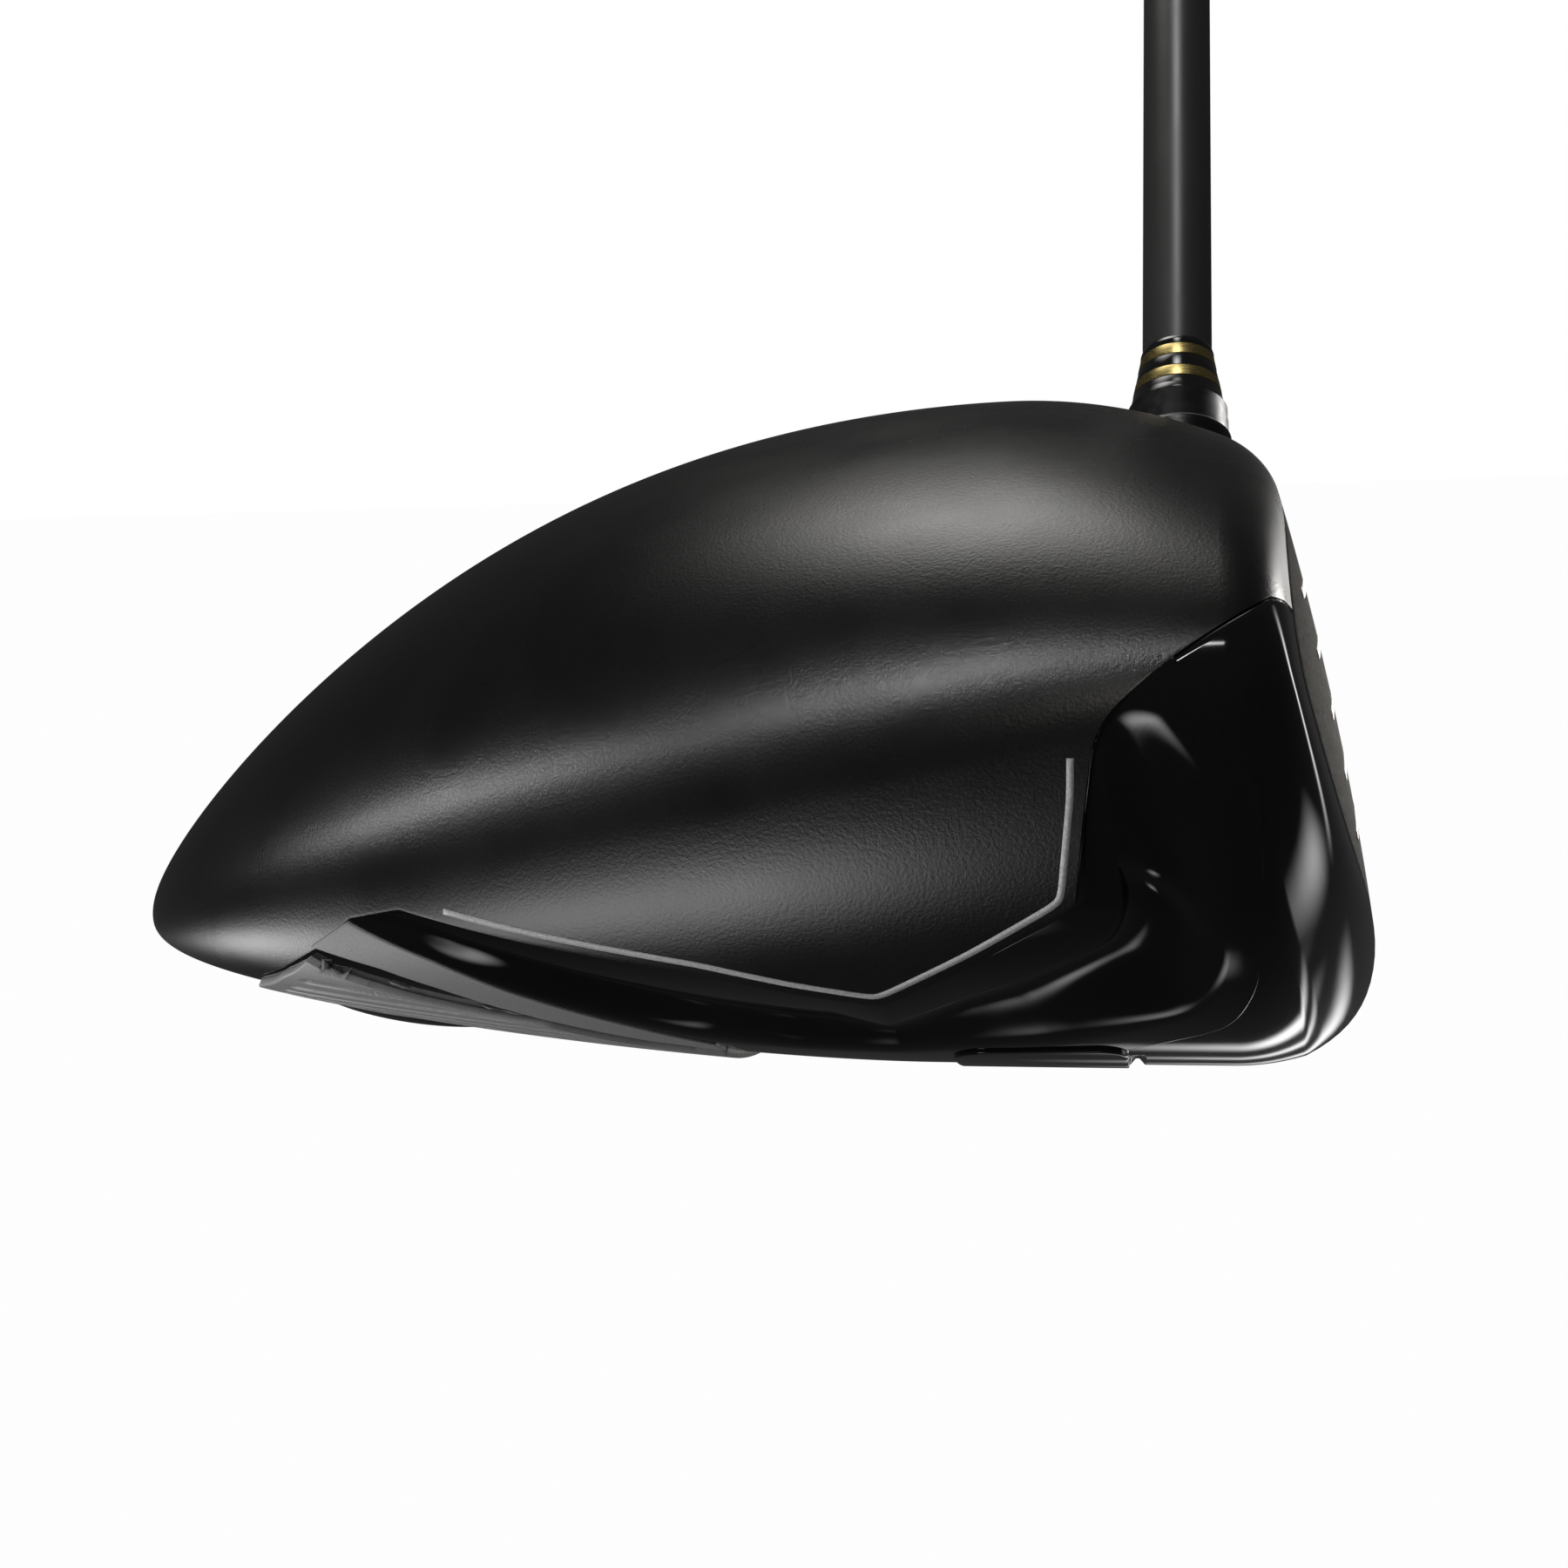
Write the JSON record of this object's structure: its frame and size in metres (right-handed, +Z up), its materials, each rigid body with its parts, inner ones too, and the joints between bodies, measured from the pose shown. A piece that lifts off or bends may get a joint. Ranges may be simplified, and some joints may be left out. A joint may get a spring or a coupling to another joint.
{
  "type": "golf driver",
  "caption": "Right-handed golf driver with a hollow head, adjustable hosel with captive bolt, removable rear weights, tapered shaft and rubber grip.",
  "frame": {"origin": "centre of the flat wear pad under the sole, on the ground", "axes": "+X the target direction the face points in, +Y from toe to heel, +Z up, with the club soled at its lie angle"},
  "size_m": [0.1206, 0.7012, 0.9925],
  "materials": {
    "black_gloss": "gloss",
    "crown_matte": "matte",
    "face_metal": "brushed",
    "score_paint": "matte",
    "titanium_cast": "satin",
    "steel_satin": "satin",
    "slot_rubber": "matte",
    "strip_grey": "matte",
    "panel_grey": "satin",
    "weight_black": "gloss",
    "bolt_black": "satin",
    "sleeve_black": "satin",
    "ferrule_black": "gloss",
    "gold": "brushed",
    "shaft_paint": "satin",
    "foam": "matte",
    "paper_tape": "matte",
    "grip_rubber": "matte"
  },
  "bodies": {
    "head": {"body_shell": "black_gloss", "crown_shell": "crown_matte", "face_plate": "face_metal", "score_inlay": "score_paint", "hosel_tube": "titanium_cast", "sole_plate": "black_gloss", "wear_pad": "steel_satin", "slot_insert": "slot_rubber", "side_strips": "strip_grey", "ribbed_panel": "panel_grey", "toe_port": "titanium_cast", "heel_port": "titanium_cast", "bolt_washer": "steel_satin", "bolt_clip": "steel_satin"},
    "hosel_bolt": {"hosel_bolt": "bolt_black"},
    "index_ring": {"index_ring": "sleeve_black"},
    "club": {"sleeve": "sleeve_black", "ferrule": "ferrule_black", "trim_rings": "gold", "shaft": "shaft_paint", "tip_plug": "foam", "grip_tape": "paper_tape", "grip": "grip_rubber", "grip_cap": "grip_rubber"},
    "toe_weight": {"toe_weight": "weight_black"},
    "toe_weight_screw": {"toe_weight_screw": "bolt_black"},
    "heel_weight": {"heel_weight": "weight_black"},
    "heel_weight_screw": {"heel_weight_screw": "bolt_black"}
  },
  "joints": [
    {"name": "bolt_turn", "type": "hinge", "parent": "head", "child": "hosel_bolt", "pos_m": [0.0093, 0.03835, 0.01755], "axis": [0, 0.5344, 0.8453], "range_deg": [0, 4320]},
    {"name": "sleeve_lift", "type": "slide", "parent": "head", "child": "index_ring", "axis": [0, 0.5344, 0.8453], "range_m": [0, 0.0096]},
    {"name": "loft_turn", "type": "hinge", "parent": "index_ring", "child": "club", "pos_m": [0.0093, 0.06507, 0.05981], "axis": [0, 0.5344, 0.8453], "range_deg": [-180, 180]},
    {"name": "toe_weight_out", "type": "slide", "parent": "head", "child": "toe_weight", "axis": [-0.1564, -0.1969, -0.9679], "range_m": [0, 0.0064]},
    {"name": "toe_screw_turn", "type": "hinge", "parent": "toe_weight", "child": "toe_weight_screw", "pos_m": [-0.062, -0.026, 0.0075], "axis": [-0.1564, -0.1969, -0.9679], "range_deg": [0, 2880]},
    {"name": "heel_weight_out", "type": "slide", "parent": "head", "child": "heel_weight", "axis": [-0.1564, 0.1969, -0.9679], "range_m": [0, 0.0064]},
    {"name": "heel_screw_turn", "type": "hinge", "parent": "heel_weight", "child": "heel_weight_screw", "pos_m": [-0.062, 0.026, 0.0075], "axis": [-0.1564, 0.1969, -0.9679], "range_deg": [0, 2880]}
  ],
  "couplings": [
    {"joint": "bolt_turn", "follows": "sleeve_lift", "rad_per_m": 7854},
    {"joint": "toe_screw_turn", "follows": "toe_weight_out", "rad_per_m": 7854},
    {"joint": "heel_screw_turn", "follows": "heel_weight_out", "rad_per_m": 7854}
  ]
}
